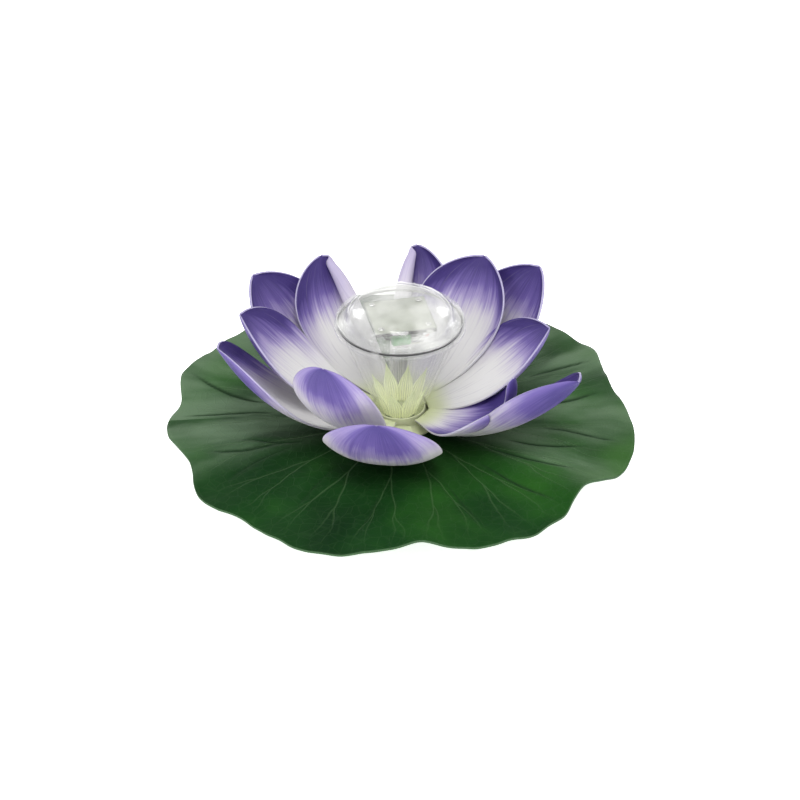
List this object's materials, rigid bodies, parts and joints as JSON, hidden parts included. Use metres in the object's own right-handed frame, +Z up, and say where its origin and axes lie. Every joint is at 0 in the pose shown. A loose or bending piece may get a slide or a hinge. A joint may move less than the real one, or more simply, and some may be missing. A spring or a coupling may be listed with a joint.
{
  "type": "floating solar lotus light",
  "caption": "Solar light for a pool or pond: a clear lidded lamp cup in a lotus of moulded foam petals, on a foam lily leaf that floats.",
  "frame": {"origin": "centre of the flat underside of the base nut, on the axis of the cup", "axes": "+Z up along the axis of the cup; -Y towards the petal that lies lowest over the leaf; +X to the right seen from there"},
  "size_m": [0.2804, 0.2818, 0.1044],
  "materials": {
    "float_foam": "matt closed-cell foam",
    "nut_plastic": "moulded, matt",
    "leaf_foam": "moulded foam sheet with a soft sheen, printed veins",
    "hub_plastic": "moulded, satin",
    "petal_foam": "moulded foam sheet, sprayed from white at the root to purple at the tip",
    "cup_plastic": "clear moulded plastic with fine flutes",
    "stamen_plastic": "translucent lime",
    "dome_plastic": "clear moulded plastic, polished",
    "tray_plastic": "clear moulded plastic",
    "seal_rubber": "matt",
    "panel_face": "glossy resin face with a pale sheen",
    "screw_steel": "bright",
    "battery_sleeve": "shrink sleeve",
    "battery_metal": "nickel plate",
    "board_green": "solder mask",
    "lamp_epoxy": "clear epoxy lens",
    "switch_metal": "tinned case",
    "switch_black": "moulded, matt",
    "wire_red": "insulation",
    "wire_black": "insulation"
  },
  "bodies": {
    "flower": {"float_disc": "float_foam", "base_nut": "nut_plastic", "leaf_pad": "leaf_foam", "petal_hub": "hub_plastic", "petal_inner_1": "petal_foam", "petal_inner_2": "petal_foam", "petal_inner_3": "petal_foam", "petal_inner_4": "petal_foam", "petal_inner_5": "petal_foam", "petal_inner_6": "petal_foam", "petal_outer_1": "petal_foam", "petal_outer_2": "petal_foam", "petal_outer_3": "petal_foam", "petal_outer_4": "petal_foam", "petal_outer_5": "petal_foam", "petal_outer_6": "petal_foam", "cup": "cup_plastic", "stamen_crown": "stamen_plastic"},
    "lid": {"lid_dome": "dome_plastic", "lid_tray": "tray_plastic", "lid_seal": "seal_rubber", "solar_panel": "panel_face", "panel_screw_1": "screw_steel", "panel_screw_2": "screw_steel", "panel_screw_3": "screw_steel", "panel_screw_4": "screw_steel", "battery": "battery_sleeve", "battery_cap": "battery_metal", "circuit_board": "board_green", "led_lamp": "lamp_epoxy", "switch_body": "switch_metal", "wire_panel_pos": "wire_red", "wire_panel_neg": "wire_black", "wire_cell_pos": "wire_red", "wire_cell_neg": "wire_black"},
    "slider": {"switch_slider": "switch_black"}
  },
  "joints": [
    {"name": "lid_lift", "type": "slide", "parent": "flower", "child": "lid", "axis": [0, 0, 1], "range_m": [0, 0.06]},
    {"name": "switch_slide", "type": "slide", "parent": "lid", "child": "slider", "axis": [0.9781, 0.2079, 0], "range_m": [0, 0.0026]}
  ]
}
